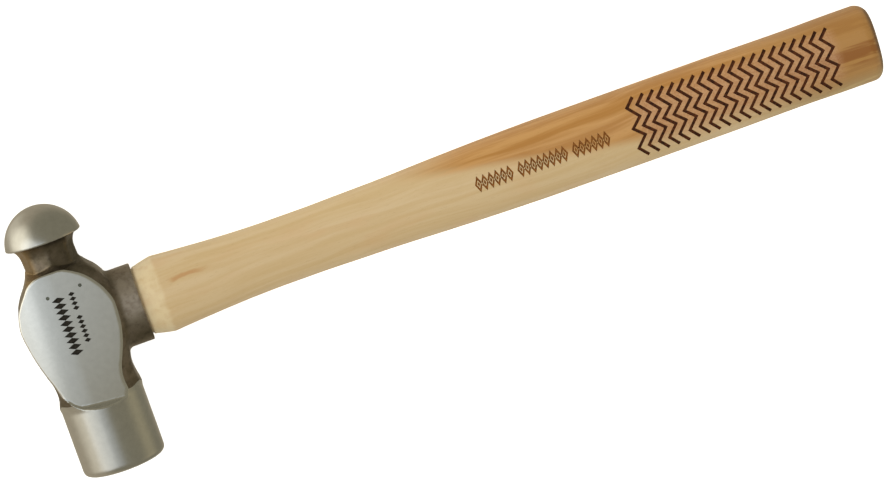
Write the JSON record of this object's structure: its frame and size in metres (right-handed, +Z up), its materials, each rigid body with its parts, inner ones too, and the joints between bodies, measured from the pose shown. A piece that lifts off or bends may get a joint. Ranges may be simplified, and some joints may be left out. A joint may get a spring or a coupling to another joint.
{
  "type": "ball peen hammer",
  "caption": "Ball peen hammer: a forged steel head with a round striking face and a ball, wedged onto an oval hickory handle.",
  "frame": {"origin": "centre of the striking face", "axes": "-Y is the way the striking face looks and +Y runs along the head to the ball; +X runs along the handle to its butt; +Z is up with the hammer lying on its side on a cheek"},
  "size_m": [0.3191, 0.0972, 0.03],
  "materials": {
    "forged_steel": "poll, ball and cheeks ground and polished to a satin; necks and collar left dark as forged",
    "hickory": "pale straight grain with brown heartwood streaks under clear lacquer, burnt chevron grip",
    "wedge_wood": "bare sawn hardwood",
    "wedge_steel": "dull mild steel"
  },
  "bodies": {
    "root": {"head": "forged_steel", "handle": "hickory", "wooden_wedge": "wedge_wood", "steel_wedge_face_side": "wedge_steel", "steel_wedge_ball_side": "wedge_steel"}
  },
  "joints": []
}
